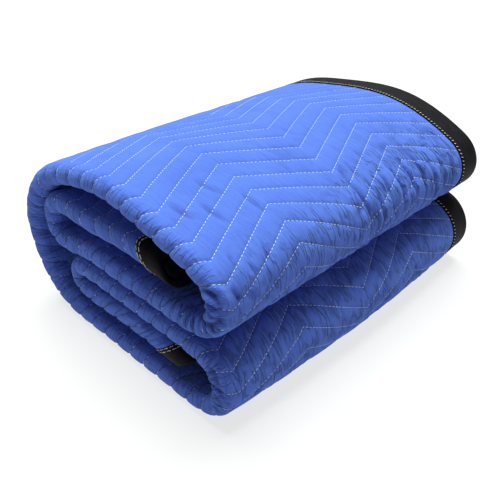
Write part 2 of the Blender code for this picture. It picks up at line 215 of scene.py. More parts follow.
# ------------------------ thread
STITCH_PITCH = 0.0046
STITCH_SLANT = 0.94          # from stitch to stitch across, by the pitch: the rows slant
ROW_STEP = 0.0005            # a row's heading is taken over this, either way
STITCH_LENGTH = 0.0034
STITCH_WIDTH = 0.00080
STITCH_RISE = 0.00045
THREAD_MOUTH = 0.045         # the rows of thread are made this far into the folded end
ROW_START, START_SPREAD = 0.3, 0.5  # a row's first stitch: this far in, and up to this more, by the pitch
THREAD_OVER = 0.0002         # a stitch's middle, from the seam's own face
SUNK_LENGTH, SUNK_WIDTH = 0.0042, 0.0012  # of a stitch that the seam closes over
THREAD_SINKS = 0.4560        # past here, across, the seams close over the thread, which is drawn in painted shade
THREAD_HIDDEN = 0.80         # over this share of its stitches
TAPE_STITCH = 0.0048         # the tape's zigzag stitching: its repeat
TAPE_STITCH_IN, TAPE_STITCH_OUT = 0.0002, 0.0042  # its points, from the tape's inner edge
TAPE_STITCH_WIDTH, TAPE_STITCH_UNEVEN = 0.00075, 0.0004
TAPE_THREAD_OVER = 0.0003    # a stitch's middle, from the tape's own face
TAPE_ROWS = (0.0022, 0.0068)  # the short tapes' two rows, from the tape's inner edge
TAPE_ROW_PITCH, TAPE_ROW_LENGTH = 0.0044, 0.0034

# ------------------------ the binding's mesh
TAPE_STATION = 0.004
TAPE_FLAT_FROM, TAPE_FLAT_POINTS = 0.0015, 9  # it is flat from this far inside the edge
TAPE_ROUND_AT, TAPE_ROUND = 0.0005, 0.0023  # middle and half width of the ellipse round the edge
TAPE_ROUND_POINTS = 5
TAPE_INNER_OUT = -0.0002     # the inner face goes no further out than this
TAPE_CLEAR = 0.0001          # added to the gap under it
TAPE_WAVES = (
    # height  length along    seed
    (0.0004,         0.013,   11.5),
    (0.0006,         0.050,   12.5),
)
TAPE_WAVE_WIDE = 0.02        # a wave's length across the tape
TAPE_WAVE_RUN = 0.006        # the waves fade in over this, from the edge
TAPE_SIDES_APART = 3.0       # the two sides read the waves this far apart
TAPE_WOBBLE, WOBBLE_LENGTH, WOBBLE_DEEP = 0.0005, 0.011, 0.001  # its uneven inner edges

# ------------------------ colours
CLOTH_BLUE = (0.066, 0.126, 0.490)
CLOTH_DEEP = (0.054, 0.102, 0.430)
CLOTH_PALE = (0.104, 0.196, 0.600)
# Painted shade: the colour the cloth is darkened towards in its creases.
PAINTED_CREASE_SHADE = (0.016, 0.028, 0.170)
TAPE_BLACK = (0.0036, 0.0028, 0.0038)
TAPE_WORN = (0.0090, 0.0072, 0.0092)
THREAD_WHITE = (0.46, 0.53, 0.70)
# Painted shade: the white thread, darkened where the seams close over it.
THREAD_PAINTED_SHADE = (0.016, 0.018, 0.070)
THREAD_STRAW = (0.72, 0.66, 0.46)

CLOTH_SHEEN = (0.45, 0.80, 1.0)

HOLLOW_SHADE = 0.94          # how far painted shade darkens the cloth in a modelled crease
LONG_SHADE, END_SHADE = 0.40, 0.58  # and in a fine one, on the bulges and in the folded end
NAP_PALE = 0.22              # how far the nap's tips are lightened
CREASE_BUMP, CRINKLE_BUMP, NAP_BUMP = 0.0017, 0.0016, 0.00035  # how deep each looks
RIB_BUMP, PICK_BUMP, TWIST_BUMP = 0.00018, 0.00012, 0.00008
# Sizes of the patterns: how many cells to a metre, along and across.
MOTTLE_CELLS, NAP_CELLS, CRINKLE_CELLS = (22.0, 22.0), (620.0, 620.0), (55.0, 190.0)
LONG_PUCKERS, END_PUCKERS, WEAR_CELLS = (42.0, 185.0), (190.0, 44.0), (60.0, 160.0)
TAPE_RIBS, TAPE_PICKS, THREAD_TWISTS = 180.0, 260.0, 420.0  # a scale of 1 is 3.2 waves a metre
# Levels of their noises: half a fine crease's width, and where the others start and are full.
PUCKER_LINE, PUCKER_PATCHES = 0.085, (0.36, 0.56)
MOTTLE_LEVELS, NAP_LEVELS, WEAR_LEVELS = (0.30, 0.70), (0.3, 0.7), (0.40, 0.72)
PUCKER_BROKEN = (1.3, 0.4)   # cells of the fine creases' patches, by those of the creases
# Where the cloth has fine creases. A pair is where they start or end, and where they are full.
UPPER_CREASED, UPPER_TOP_CREASED = (-0.500, -0.465), (-0.262, -0.350)  # along
CREASED_SLANT = 0.22         # the second is moved along by this share of the place across
LOWER_CREASED = ((0.420, 0.455), (0.560, 0.530))
UPPER_MOUTH = ((-0.600, -0.560), (-0.385, -0.430))
LOWER_MOUTH = ((0.410, 0.445), (0.560, 0.540))
FACE_CREASED = ((0.030, 0.060), (0.470, 0.440))  # across
END_CREASED, END_CREASED_LEAST = (0.440, 0.462), 0.55  # and how much of them all round it

# ------------------------ camera and light
CAMERA_AT = (0.5595, -0.5722, 0.5970)
CAMERA_TURN = 45.0           # degrees from looking along +Y, towards -X
CAMERA_DOWN = 34.9
CAMERA_LENS = 51.7
SENSOR = 36.0
SUN_POWER, SUN_SPREAD = 6.6, 44.0
SUN_FROM = (-0.24, 0.22, 1.0)
SKY_POWER = 0.28
SUN_COLOUR, SKY_COLOUR = (0.92, 1.04, 0.97), (1.12, 0.97, 1.08)
FLOOR_HALF = 30.0
FLOOR_SHADE, FLOOR_GLOW = 0.15, 0.74   # a lit white table: part paint, part its own light

# Worked out from the sizes above.
BAND_HALF = 1.5 * SHEET_PITCH + SHEET_CROWN / 2
NEAR_FOLD_Y = BAND_HALF
NEAR_ARC = math.pi * 1.5 * SHEET_PITCH
SMALL_ARC = math.pi * 0.5 * SHEET_PITCH
MEAN_STRAIGHT = (ACROSS_SIZE - NEAR_ARC - 2.0 * SMALL_ARC) / 4.0
OUTER_STRAIGHT = MEAN_STRAIGHT + INNER_SETBACK / 2
INNER_STRAIGHT = MEAN_STRAIGHT - INNER_SETBACK / 2
BOUND_Y = NEAR_FOLD_Y + OUTER_STRAIGHT
MIDDLE_Y = (BOUND_Y + TAPE_BACK + TAPE_THICK / 2) / 2
TAPE_EDGE = TAPE_SHOWS + TAPE_GAP
NEAR_FOLD_END = OUTER_STRAIGHT + NEAR_ARC
QUARTER_FOLD = (
    # length, angle turned
    (OUTER_STRAIGHT, 0.0),
    (NEAR_ARC, math.pi),
    (INNER_STRAIGHT, 0.0),
    (SMALL_ARC, math.pi),
    (INNER_STRAIGHT, 0.0),
    (SMALL_ARC, -math.pi),
    (OUTER_STRAIGHT, 0.0),
)


# ======================== folding
def smooth(t):
    """0 to 1 with soft ends."""
    t = np.clip(t, 0.0, 1.0)
    return t * t * (3.0 - 2.0 * t)


def spline(points, samples):
    """A natural cubic spline through the points, with the knots at chord lengths."""
    knots = np.concatenate([[0.0], np.cumsum(np.linalg.norm(np.diff(points, axis=0), axis=1))])
    steps = np.diff(knots)
    slopes = np.diff(points, axis=0) / steps[:, None]
    last = len(knots) - 1
    system = np.eye(last + 1)
    right = np.zeros_like(points)
    for i in range(1, last):
        system[i, i - 1:i + 2] = steps[i - 1], 2.0 * (steps[i - 1] + steps[i]), steps[i]
        right[i] = 6.0 * (slopes[i] - slopes[i - 1])
    bends = np.linalg.solve(system, right)
    at = np.linspace(0.0, knots[-1], samples)
    i = np.clip(np.searchsorted(knots, at, side="right") - 1, 0, last - 1)
    h = steps[i][:, None]
    a = (knots[i + 1] - at)[:, None] / h
    b = 1.0 - a
    cubic = ((a ** 3 - a) * bends[i] + (b ** 3 - b) * bends[i + 1]) * h ** 2 / 6.0
    return a * points[i] + b * points[i + 1] + cubic


def course_points():
    """Near X, near Z, far X and far Z of each point of the course, its bends worked out."""
    found = []
    for kind, _, *shape, start, stop in COURSE:
        near, far = shape[:4], shape[4:]
        turns = np.linspace(start, stop, BEND_STEPS) if kind == "bend" else [start]
        for angle in np.radians(turns):
            found.append([value for x, z, reach, rise in (near, far)
                          for value in (x + reach * np.cos(angle), z + rise * np.sin(angle))])
    return np.array(found) / 1000.0 - [CENTRE_X, 0.0, CENTRE_X, 0.0]


def headings(line):
    """Unit direction of a line in X and Z at each of its samples."""
    step = np.gradient(line, axis=0)
    return step / np.linalg.norm(step, axis=1)[:, None]


def outer_lengths(line):
    """Length along the outermost sheet of the band, measured from its middle."""
    turn = headings(line)
    outer = line + 1.5 * SHEET_PITCH * np.stack([turn[:, 1], -turn[:, 0]], axis=1)
    walked = np.cumsum(np.linalg.norm(np.diff(outer, axis=0), axis=1))
    return np.concatenate([[0.0], walked]) - walked[-1] / 2


LINE = spline(course_points(), LINE_SAMPLES)
LINE_AT = outer_lengths((LINE[:, :2] + LINE[:, 2:]) / 2)
LINE_STEP = np.gradient(LINE, LINE_AT, axis=0)
HALF_ALONG = LINE_AT[-1]


def quarter_fold(across, lift):
    """Y and depth in the four-sheet band of a point of the flat cloth."""
    y = np.full(across.shape, BOUND_Y)
    depth = np.full(across.shape, 1.5 * SHEET_PITCH)
    heading = np.full(across.shape, math.pi)
    left = across.copy()
    last = len(QUARTER_FOLD) - 1
    for number, (length, turn) in enumerate(QUARTER_FOLD):
        part = left if number == 0 else np.maximum(left, 0.0)
        if number < last:
            part = np.minimum(part, length)
        if turn:
            radius = length / turn
            turned = heading + part / radius
            y += radius * (np.sin(turned) - np.sin(heading))
            depth -= radius * (np.cos(turned) - np.cos(heading))
            heading = turned
        else:
            y += part * np.cos(heading)
        left = left - part
    return y + lift * np.sin(heading), depth - lift * np.cos(heading)


def fold(along, across, lift):
    """Where points of the flat cloth lie in the packet."""
    along, across, lift = (np.asarray(values, float).ravel() for values in (along, across, lift))
    y, depth = quarter_fold(across, lift)
    inward = (1.5 * SHEET_PITCH - depth) / (3.0 * SHEET_PITCH)
    creep = TAIL_CREEP * inward * smooth(1.0 - (HALF_ALONG - np.abs(along)) / CREEP_RUN)
    along = along + np.sign(along) * creep
    inside = np.clip(along, -HALF_ALONG, HALF_ALONG)
    far = np.clip((y - NEAR_FOLD_Y) / INNER_STRAIGHT, 0.0, PAST_BOUND_END)
    place, step = (
        np.stack([np.interp(inside, LINE_AT, table[:, k]) * (1.0 - far)
                  + np.interp(inside, LINE_AT, table[:, k + 2]) * far for k in (0, 1)], axis=1)
        for table in (LINE, LINE_STEP))
    heading = step / np.linalg.norm(step, axis=1)[:, None]
    place += heading * (along - inside)[:, None]
    x = place[:, 0] + heading[:, 1] * depth
    z = place[:, 1] - heading[:, 0] * depth
    midway = np.sin(np.pi * np.clip(far, 0.0, 1.0))
    low = 1.0 - smooth((z - BELLY_TOP) / BELLY_FADE)
    x = x + BELLY * midway * low * smooth((x - BELLY_FROM) / BELLY_RUN)
    z = z + TOP_SWELL * midway * smooth((z - TOP_FROM) / TOP_RUN)
    return np.stack([x, y - MIDDLE_Y, np.maximum(z, 0.0)], axis=1)


# ======================== relief
def zigzag(across):
    """How far along a row of stitching is moved at that place across."""
    leg = (np.maximum(across, TAPE_EDGE) - FIRST_TURN) / ZIGZAG_LEG
    return ZIGZAG_SWING * (0.5 - np.abs(leg % 2.0 - 1.0))


def row_along(row, across):
    """Where that row of quilting lies; the rows straighten towards the blanket's ends."""
    along = ROW_FIRST + row * ROW_PITCH
    straight = 1.0 - smooth((HALF_ALONG - np.abs(along)) / ROWS_STRAIGHTEN)
    return along + zigzag(across) * (1.0 - straight)


def bound(across, along):
    """1 inside the binding, falling to 0 where the quilting is full again."""
    from_edge = np.minimum(np.minimum(across, ACROSS_SIZE - across), HALF_ALONG - np.abs(along))
    return 1.0 - smooth((from_edge - TAPE_EDGE) / BOUND_EDGE)


def chance(i, j, seed):
    """A repeatable value from 0 to 1 for each cell of a lattice."""
    mixed = np.sin(i * 127.1 + j * 311.7 + seed * 74.7) * 43758.5453
    return mixed - np.floor(mixed)


def noise(u, v, seed):
    """Smooth noise from 0 to 1, in cells of unit size."""
    i, j = np.floor(u), np.floor(v)
    s, t = smooth(u - i), smooth(v - j)
    near = chance(i, j, seed) * (1.0 - s) + chance(i + 1.0, j, seed) * s
    far = chance(i, j + 1.0, seed) * (1.0 - s) + chance(i + 1.0, j + 1.0, seed) * s
    return near * (1.0 - t) + far * t


def within(value, low, high, edge):
    """1 between low and high, fading to 0 over the edge inside them."""
    return smooth((value - low) / edge) * smooth((high - value) / edge)


def area_creases(along, across):
    """Depth of the small creases: troughs drawn along the level lines of a stretched noise."""
    depth = np.zeros(along.shape)
    for seed, (runs, _, *place, length, apart, deepest) in enumerate(CREASE_AREAS):
        low, high, left, right = (value / 1000.0 for value in place)
        edge = AREA_EDGE if runs == "along" else AREA_EDGE / 2
        share = within(along, low, high, edge) * within(across, left, right, edge)
        here = share > 0.0
        u, v = along[here] * 1000.0, across[here] * 1000.0
        if runs == "across":
            u, v = v, u
        strays = noise(u / length, v / (WANDER_WIDE * apart), seed + SEED_WANDER) - 0.5
        bent = v + TROUGH_WANDERS * apart * strays
        level = noise(u / length, bent / apart, seed)
        trough = np.clip(1.0 - np.abs(level - 0.5) / TROUGH_WIDTH, 0.0, 1.0) ** TROUGH_POWER
        patch = noise(u / length * PATCH_SHORT, v / (PATCH_WIDE * apart), seed + SEED_PATCH)
        trough *= smooth((patch - PATCH_FROM) / PATCH_RUN)
        depth[here] += share[here] * deepest / 1000.0 * (trough - TROUGH_MEAN)
    return depth


def main_folds(along, across):
    """Depth of the main folds, with a low ridge on either side of each."""
    depth = np.zeros(along.shape)
    for _, *place, heading, length, width, deepest in FOLDS:
        run, side = along - place[0] / 1000.0, across - place[1] / 1000.0
        turn = math.radians(heading)
        u = (run * math.cos(turn) + side * math.sin(turn)) / (length / 2000.0)
        v = (side * math.cos(turn) - run * math.sin(turn)) / (width / 1000.0)
        v = v + FOLD_BOWS * u * u
        trough = np.exp(-FOLD_SHARP * v * v)
        ridges = RIDGE_HIGH * np.exp(-RIDGE_SHARP * (np.abs(v) - RIDGE_OUT) ** 2)
        ends = np.clip(1.0 - u * u, 0.0, 1.0)
        depth += deepest / 1000.0 * ends * (trough - ridges)
    return depth


def nose(across):
    """1 where the cloth turns round the folded end, 0 where it lies flat."""
    turned = (across - OUTER_STRAIGHT) / NEAR_ARC
    return smooth((turned - NOSE_STARTS) / NOSE_RISE) * smooth((NOSE_ENDS - turned) / NOSE_FALL)


def face_lift(row, across, along):
    """From the cloth's mid-plane to its outer face."""
    puff = np.abs(np.sin(np.pi * row)) ** PUFF_POWER
    swell = noise(along / UNEVEN_CELL[0], across / UNEVEN_CELL[1], SEED_PUFF) - 0.5
    uneven = 1.0 + PUFF_UNEVEN * swell
    crown = (SHEET_CROWN - SHEET_SEAM) / 2 * uneven * (1.0 - NOSE_FLAT * nose(across))
    from_seam = np.abs(row - np.rint(row)) * ROW_PITCH
    pull = SEAM_PULL + (NOSE_PULL - SEAM_PULL) * nose(across)
    quilted = SHEET_SEAM / 2 + crown * puff - pull * np.exp(-(from_seam / GROOVE_WIDTH) ** 2)
    quilted -= area_creases(along, across) * (CREASE_ON_SEAM + (1.0 - CREASE_ON_SEAM) * puff)
    quilted -= main_folds(along, across)
    flat = bound(across, along)
    return np.maximum(quilted * (1.0 - flat) + SHEET_BOUND / 2 * flat, DEEPEST)


def back_lift(row, across, along):
    """From the cloth's mid-plane to its hidden face."""
    puff = np.abs(np.sin(np.pi * row)) ** PUFF_POWER
    quilted = SHEET_SEAM / 2 + (SHEET_CROWN - SHEET_SEAM) / 2 * puff
    flat = bound(across, along)
    return quilted * (1.0 - flat) + SHEET_BOUND / 2 * flat


# ======================== mesh helpers
def grid_faces(rows, columns, start=0, flip=False):
    """Quads of a grid of that many points, numbered row by row."""
    i, j = np.meshgrid(np.arange(rows - 1), np.arange(columns - 1), indexing="ij")
    a = (start + i * columns + j).ravel()
    quads = np.stack([a, a + columns, a + columns + 1, a + 1], axis=1)
    return quads[:, ::-1] if flip else quads


def rim_faces(rows, columns, offset):
    """Quads that join two such grids round their edges; the second starts at offset."""
    top = np.arange(columns)
    right = np.arange(rows) * columns + columns - 1
    bottom = (rows - 1) * columns + top[::-1]
    left = (np.arange(rows) * columns)[::-1]
    loop = np.concatenate([top[:-1], right[:-1], bottom[:-1], left[:-1]])
    ahead = np.roll(loop, -1)
    return np.stack([loop, ahead, ahead + offset, loop + offset], axis=1)


def new_mesh(name, points, faces, flat=None):
    """A smooth mesh; flat, if given, is each point's flat (along, across), kept as its UV."""
    mesh = bpy.data.meshes.new(name)
    mesh.vertices.add(len(points))
    mesh.vertices.foreach_set("co", np.asarray(points, np.float32).ravel())
    corners = faces.shape[1]
    mesh.loops.add(faces.size)
    mesh.loops.foreach_set("vertex_index", faces.ravel().astype(np.int32))
    mesh.polygons.add(len(faces))
    mesh.polygons.foreach_set("loop_start", np.arange(0, faces.size, corners, dtype=np.int32))
    mesh.update(calc_edges=True)
    if flat is not None:
        layer = mesh.uv_layers.new(name="flat_cloth")
        layer.data.foreach_set("uv", np.asarray(flat, np.float32)[faces.ravel()].ravel())
    mesh.shade_smooth()
    return mesh


def show(thing):
    """Puts an object in the scene."""
    bpy.context.scene.collection.objects.link(thing)


def new_piece(mesh, material, slot, *nodes):
    """Puts a mesh in the scene as a piece of the body, in the place of those solids."""
    piece = bpy.data.objects.new(mesh.name, mesh)
    mesh.materials.append(material)
    show(piece)
    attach(piece, "root")
    if nodes:
        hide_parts(*nodes)
    return piece


# ======================== the quilted cloth
def cloth_rows():
    """Mesh rows, in rows of quilting from the middle: close where the cloth shows."""
    edge = HALF_ALONG - TAPE_EDGE
    rows = []
    for whole in range(-int(edge / ROW_PITCH) - 1, int(edge / ROW_PITCH) + 2):
        along = ROW_FIRST + whole * ROW_PITCH
        steps = [steps for low, high, steps in ROW_DENSITY if low <= along < high] + [PLAIN]
        rows += [whole + share for share in steps[0]
                 if abs(along + share * ROW_PITCH) < edge - CLOSEST_ROW]
    ends = [(place - ROW_FIRST) / ROW_PITCH for place in (-HALF_ALONG, -edge, edge, HALF_ALONG)]
    return np.array(ends[:2] + rows + ends[2:])


def cloth_columns():
    """Mesh columns across, in step with the turns of the zigzag."""
    first = int((TAPE_EDGE - FIRST_TURN) / COLUMN_STEP + 1.0 + NEAREST_COLUMN)
    last = int((OUTER_STRAIGHT - FIRST_TURN) / COLUMN_STEP - NEAREST_COLUMN)
    columns = [0.0, TAPE_EDGE]
    columns += [FIRST_TURN + k * COLUMN_STEP for k in range(first, last + 1)]
    columns += list(np.linspace(OUTER_STRAIGHT, NEAR_FOLD_END, NEAR_FOLD_STEPS + 1))
    mouth = NEAR_FOLD_END + MOUTH_DEPTH
    columns += list(np.linspace(NEAR_FOLD_END, mouth, MOUTH_STEPS + 1)[1:])
    start = NEAR_FOLD_END
    for length, _ in QUARTER_FOLD[2:]:
        columns += list(np.linspace(max(start, mouth), start + length, HIDDEN_STEPS + 1)[1:])
        start += length
    return np.array(sorted(columns + [ACROSS_SIZE - TAPE_EDGE]))


def thin_out(mesh, hidden):
    """Thins the mesh where it is hidden, and leaves the rest of it as it is."""
    holder = bpy.data.objects.new(mesh.name, mesh)
    show(holder)
    group = holder.vertex_groups.new(name="hidden")
    group.add(np.flatnonzero(hidden).tolist(), 1.0, "REPLACE")
    thinner = holder.modifiers.new("thinner", "DECIMATE")
    thinner.ratio = FACES_KEPT
    thinner.vertex_group = group.name
    graph = bpy.context.evaluated_depsgraph_get()
    thinned = bpy.data.meshes.new_from_object(holder.evaluated_get(graph))
    bpy.data.objects.remove(holder)
    bpy.data.meshes.remove(mesh)
    thinned.name = "quilted_cloth"
    return thinned


def quilt_cloth(material):
    """Face cloth, filling and back cloth, as one closed sheet."""
    rows, columns = cloth_rows(), cloth_columns()
    row, across = np.meshgrid(rows, columns, indexing="ij")
    along = row_along(row, across)
    face = fold(along, across, face_lift(row, across, along))
    back = fold(along, across, -back_lift(row, across, along))
    size = row.size
    faces = np.concatenate([
        grid_faces(len(rows), len(columns), flip=True),
        grid_faces(len(rows), len(columns), start=size),
        rim_faces(len(rows), len(columns), size)[:, ::-1]])
    flat = np.tile(np.stack([along.ravel(), across.ravel()], axis=1), (2, 1))
    outside = (np.abs(along) < SHOWN_ALONG) & (across < NEAR_FOLD_END + MOUTH_DEPTH)
    outside |= np.abs(across - (OUTER_STRAIGHT + NEAR_FOLD_END) / 2) < TAIL_SHOWN
    hidden = np.concatenate([~outside.ravel(), np.ones(size, bool)])
    mesh = new_mesh("quilted_cloth", np.concatenate([face, back]), faces, flat)
    # The creases' depth, kept on the mesh as the mask of their painted shade.
    hollow_painted_shade = (area_creases(along, across) + main_folds(along, across)) / HOLLOW_DEPTH
    hollow_painted_shade = np.concatenate([np.clip(hollow_painted_shade, 0.0, 1.0).ravel(), np.zeros(size)])
    layer = mesh.attributes.new("hollow_painted_shade", "FLOAT", "POINT")
    layer.data.foreach_set("value", hollow_painted_shade.astype(np.float32))
    mesh = thin_out(mesh, hidden)
    return new_piece(mesh, material, "quilt_blue", "quilted_panel")


# ======================== thread
# A stitch along its length: where, how wide and how thick it is there.
STITCH_SHAPE = ((-0.50, 0.35, 0.10), (-0.27, 0.95, 0.95), (0.27, 0.95, 0.95), (0.50, 0.35, 0.10))
# Its section: how far aside and how high each corner is; and triangles that close one end.
STITCH_SIDES = ((-0.5, 0.10), (-0.30, 0.80), (0.30, 0.80), (0.5, 0.10), (0.0, -0.60))
STITCH_END = ((0, 4, 3), (0, 3, 1), (1, 3, 2))


def stitch_triangles():
    """Triangles of one stitch, by its corners' numbers, station after station."""
    sides, last = len(STITCH_SIDES), len(STITCH_SHAPE) - 1
    triangles = []
    for station in range(last):
        for k in range(sides):
            a, b = station * sides + k, station * sides + (k + 1) % sides
            triangles += [(a, b, b + sides), (a, b + sides, a + sides)]
    far_end = [[last * sides + k for k in corners[::-1]] for corners in STITCH_END]
    return np.array([*triangles, *STITCH_END, *far_end])


def stitches(name, middles, headings_at, length, width, lift_at, material, slot):
    """A joined mesh of stitches, laid out flat at their middles and folded with the cloth."""
    count = len(middles)
    forward = headings_at / np.linalg.norm(headings_at, axis=1)[:, None]
    side = np.stack([-forward[:, 1], forward[:, 0]], axis=1)
    flat, rise = [], []
    for place, wide, thick in STITCH_SHAPE:
        for shift, up in STITCH_SIDES:
            flat.append(middles + forward * (place * length) + side * (shift * wide * width))
            rise.append(np.full(count, up * thick * STITCH_RISE))
    flat = np.stack(flat, axis=1)
    rise = np.stack(rise, axis=1)
    lift = np.repeat(lift_at[:, None], flat.shape[1], axis=1) + rise
    points = fold(flat[..., 0], flat[..., 1], lift)
    each = len(STITCH_SHAPE) * len(STITCH_SIDES)
    faces = (np.arange(count)[:, None, None] * each + stitch_triangles()[None]).reshape(-1, 3)
    return new_piece(new_mesh(name, points, faces, flat.reshape(-1, 2)), material, slot)


def quilting_thread(name, material, on_face):
    """The rows of stitching: those that zigzag over the face, or those in the folded end. The latter are
    drawn in painted shade.
    """
    middles, forward = [], []
    last = int((HALF_ALONG - TAPE_EDGE) / ROW_PITCH)
    for row in range(-last, last + 1):
        shown = abs(ROW_FIRST + row * ROW_PITCH) < SHOWN_ALONG
        low = TAPE_EDGE if shown else OUTER_STRAIGHT - THREAD_MOUTH
        start = low + STITCH_PITCH * (ROW_START + START_SPREAD * chance(row, 3.0, SEED_START))
        across = np.arange(start, NEAR_FOLD_END + THREAD_MOUTH, STITCH_PITCH * STITCH_SLANT)
        drawn = chance(float(row), np.arange(len(across)), SEED_SUNK)
        sunk = (across > THREAD_SINKS) & (drawn < THREAD_HIDDEN)
        across = across[sunk != on_face]
        along = row_along(float(row), across)
        ahead, behind = (row_along(float(row), across + step) for step in (ROW_STEP, -ROW_STEP))
        middles.append(np.stack([along, across], axis=1))
        forward.append(np.stack([ahead - behind, np.full(len(across), 2.0 * ROW_STEP)], axis=1))
    middles, forward = np.concatenate(middles), np.concatenate(forward)
    lift = seam_lift(middles) + THREAD_OVER
    length, width = (STITCH_LENGTH, STITCH_WIDTH) if on_face else (SUNK_LENGTH, SUNK_WIDTH)
    return stitches(name, middles, forward, length, width, lift, material, "quilt_blue")


def seam_lift(middles):
    """The face's height at those places on rows of stitching."""
    return face_lift(np.zeros(len(middles)), middles[:, 1], middles[:, 0])


# ======================== the binding
def tape_height(along, inward):
    """How far the tape's outer face stands from the cloth's mid-plane."""
    wave = sum(high * (noise(along / length, inward / TAPE_WAVE_WIDE, seed) - 0.5)
               for high, length, seed in TAPE_WAVES)
    face = SHEET_BOUND / 2 + TAPE_GAP + TAPE_CLEAR + TAPE_THICK
    return face + wave * smooth(inward / TAPE_WAVE_RUN)


def tape_section():
    """The tape's outer line round the cloth's edge: inward and side, -1 to 1."""
    flat = np.linspace(TAPE_SHOWS, TAPE_FLAT_FROM, TAPE_FLAT_POINTS)
    turn = np.radians(np.linspace(90.0, 270.0, TAPE_ROUND_POINTS + 2)[1:-1])
    points = [(place, 1.0) for place in flat]
    points += [(TAPE_ROUND_AT + TAPE_ROUND * math.cos(a), math.sin(a)) for a in turn]
    return points + [(place, -1.0) for place in flat[::-1]]


def make_tape(name, node, stations, place, material):
    """A binding tape, its section carried to each station by place(station, inward)."""
    outer = np.array(tape_section())
    inner = outer[::-1].copy()
    inner[:, 0] = np.maximum(inner[:, 0], TAPE_INNER_OUT)
    station, k = np.meshgrid(stations, np.arange(len(outer) + len(inner)), indexing="ij")
    section = np.concatenate([outer, inner])[k.astype(int)]
    inward, side = section[..., 0], section[..., 1]
    is_outer = k < len(outer)
    height = tape_height(station + TAPE_SIDES_APART * np.sign(side), np.maximum(inward, 0.0))
    wobble = TAPE_WOBBLE * (noise(station / WOBBLE_LENGTH, 0.5 + side, SEED_WOBBLE) - 0.5)
    wobble *= inward > TAPE_SHOWS - WOBBLE_DEEP
    height = np.where(is_outer, height, height - TAPE_THICK)
    along, across = place(station, inward + wobble)
    points = fold(along, across, height * side)
    rows, columns = station.shape
    faces = grid_faces(rows, columns)
    a = np.arange(rows - 1) * columns
    close = np.stack([a + columns - 1, a + 2 * columns - 1, a + columns, a], axis=1)
    ends = []
    half = len(outer)
    for start, flip in ((0, False), ((rows - 1) * columns, True)):
        j = np.arange(half - 1)
        cap = np.stack([start + j, start + j + 1, start + columns - 2 - j, start + columns - 1 - j], axis=1)
        ends.append(cap[:, ::-1] if flip else cap)
    faces = np.concatenate([faces, close, *ends])
    flat = np.stack([station.ravel(), (inward * side).ravel()], axis=1)
    piece = new_piece(new_mesh(name, points, faces, flat), material, "binding_black", node)


def bindings(material):
    """Two tapes down the long edges, and two over the short ones that butt between them."""
    past = TAPE_BACK + TAPE_THICK / 2
    long_stations = np.arange(-HALF_ALONG - past, HALF_ALONG + past, TAPE_STATION)
    short_stations = np.arange(TAPE_EDGE, ACROSS_SIZE - TAPE_EDGE, TAPE_STATION)
    for name, node, stations, place in (
            ("long_tape_outer", "binding_long_outer", long_stations, lambda s, i: (s, i)),
            ("long_tape_inner", "binding_long_inner", long_stations, lambda s, i: (s, ACROSS_SIZE - i)),
            ("short_tape_upper", "binding_short_upper", short_stations, lambda s, i: (i - HALF_ALONG, s)),
            ("short_tape_lower", "binding_short_lower", short_stations, lambda s, i: (HALF_ALONG - i, s))):
        make_tape(name, node, stations, place, material)


def binding_thread(material):
    """Overedge stitching on the long tapes, every second stitch on top, and rows on the short."""
    points = np.arange(-HALF_ALONG + TAPE_EDGE, HALF_ALONG - TAPE_EDGE, TAPE_STITCH / 2)
    inward = np.where(np.arange(len(points)) % 2, TAPE_STITCH_IN, TAPE_STITCH_OUT)
    shift = TAPE_STITCH_UNEVEN * (chance(np.arange(len(points)), 1.0, SEED_OVEREDGE) - 0.5)
    inward = TAPE_SHOWS - inward + shift
    middles, forward = [], []
    for far in (False, True):
        across = ACROSS_SIZE - inward if far else inward
        line = np.stack([points, across], axis=1)
        middles.append(((line[1:] + line[:-1]) / 2)[::2])
        forward.append(np.diff(line, axis=0)[::2])
    short = np.arange(TAPE_EDGE, ACROSS_SIZE - TAPE_EDGE, TAPE_ROW_PITCH)
    for end in (-1.0, 1.0):
        for from_edge in TAPE_ROWS:
            along = np.full(len(short), end * (HALF_ALONG - TAPE_SHOWS + from_edge))
            middles.append(np.stack([along, short], axis=1))
            forward.append(np.tile([0.0, 1.0], (len(short), 1)))
    middles, forward = np.concatenate(middles), np.concatenate(forward)
    lift = np.full(len(middles), SHEET_BOUND / 2 + TAPE_GAP + TAPE_THICK + TAPE_THREAD_OVER)
    return stitches("binding_thread", middles, forward, TAPE_ROW_LENGTH, TAPE_STITCH_WIDTH, lift,
                    material, "binding_black")


# ======================== materials
class Nodes:
    """Adds nodes to a material and links them."""

    def __init__(self, material):
        """Starts from the material's own shader."""
        self.tree = material.node_tree
        self.shader = self.tree.nodes["Principled BSDF"]

    def feed(self, node, values):
        """Links each of those inputs of the node to a socket, or sets it to a value."""
        for name, value in values.items():
            if isinstance(value, bpy.types.NodeSocket):
                self.tree.links.new(value, node.inputs[name])
            else:
                node.inputs[name].default_value = value

    def shade(self, **values):
        """Feeds the material's shader."""
        self.feed(self.shader, {name.replace("_", " "): value for name, value in values.items()})

    def add(self, kind, values=None, **settings):
        """A new node, with those inputs and settings."""
        node = self.tree.nodes.new(kind)
        for name, value in settings.items():
            setattr(node, name, value)
        self.feed(node, values or {})
        return node


def plain_material(name, colour, roughness):
    """A material of one colour, and its nodes for more to be done to it."""
    material = bpy.data.materials.new(name)
    material.use_nodes = True
    nodes = Nodes(material)
    nodes.shade(Base_Color=(*colour, 1.0), Roughness=roughness)
    return material, nodes


def flat_place(nodes, cells):
    """Flat coordinates of the cloth, with that many cells a metre along and across."""
    uv = nodes.add("ShaderNodeUVMap", uv_map="flat_cloth").outputs["UV"]
    return nodes.add("ShaderNodeMapping", {"Vector": uv, "Scale": (*cells, 1.0)}).outputs["Vector"]


def flat_noise(nodes, cells, detail, roughness=0.5):
    """Noise over the flat cloth, in cells of that many a metre along and across."""
    values = {"Vector": flat_place(nodes, cells), "Scale": 1.0, "Detail": detail,
              "Roughness": roughness}
    return nodes.add("ShaderNodeTexNoise", values).outputs["Fac"]


